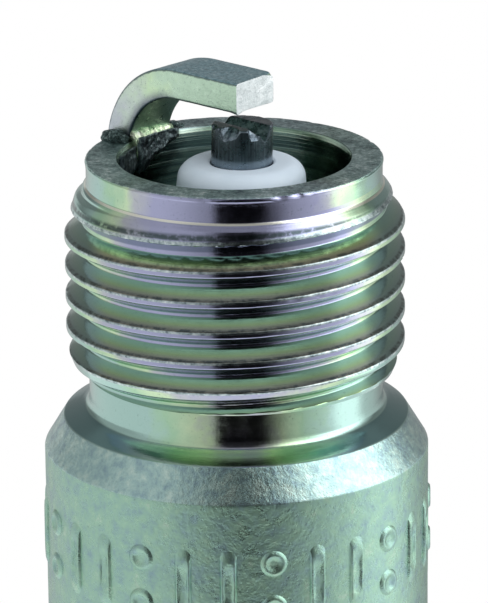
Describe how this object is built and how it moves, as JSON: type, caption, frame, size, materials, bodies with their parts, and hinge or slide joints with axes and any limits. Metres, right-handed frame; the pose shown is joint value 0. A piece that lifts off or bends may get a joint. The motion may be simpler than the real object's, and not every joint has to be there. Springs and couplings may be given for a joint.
{
  "type": "spark plug",
  "caption": "Threaded spark plug with a conical seat, hexagon, ribbed insulator, grooved centre electrode and J-shaped ground electrode.",
  "frame": {"origin": "centre of the conical seat's 14.6 mm gauge circle, on the plug's axis", "axes": "+Z along the plug's axis toward the firing end, +X square to a pair of wrench flats; the ground electrode's arm points 42.9 degrees from +X toward -Y"},
  "size_m": [0.016, 0.0182, 0.0678],
  "materials": {
    "plated_steel": "zinc plated with an iridescent clear passivate, turned, matt on the barrel",
    "nickel_alloy": "plated nickel alloy strap with a sheared end",
    "weld_steel": "rough, dark, sparkling upset weld metal",
    "alumina": "white alumina, matt on the nose and glazed outside the shell",
    "dark_nickel_alloy": "dark nickel alloy, drawn and cut",
    "copper": "drawn copper",
    "copper_glass": "fused copper-glass powder",
    "carbon_glass": "fused carbon-glass powder",
    "bright_steel": "nickel plated turned steel",
    "packing_steel": "soft steel, pressed",
    "talc": "pressed talc powder"
  },
  "bodies": {
    "plug": {"metal_shell": "plated_steel", "ground_electrode": "nickel_alloy", "ground_electrode_weld": "weld_steel", "insulator": "alumina", "centre_electrode": "dark_nickel_alloy", "centre_electrode_copper_core": "copper", "lower_glass_seal": "copper_glass", "suppressor_resistor": "carbon_glass", "upper_glass_seal": "copper_glass", "terminal_stud": "bright_steel", "inner_seat_washer": "packing_steel", "lower_packing_ring": "packing_steel", "upper_packing_ring": "packing_steel", "talc_filling": "talc"},
    "nut": {"terminal_nut": "bright_steel"}
  },
  "joints": [
    {"name": "terminal_nut_removal", "type": "slide", "parent": "plug", "child": "nut", "axis": [0, 0, -1], "range_m": [0, 0.0068]}
  ]
}
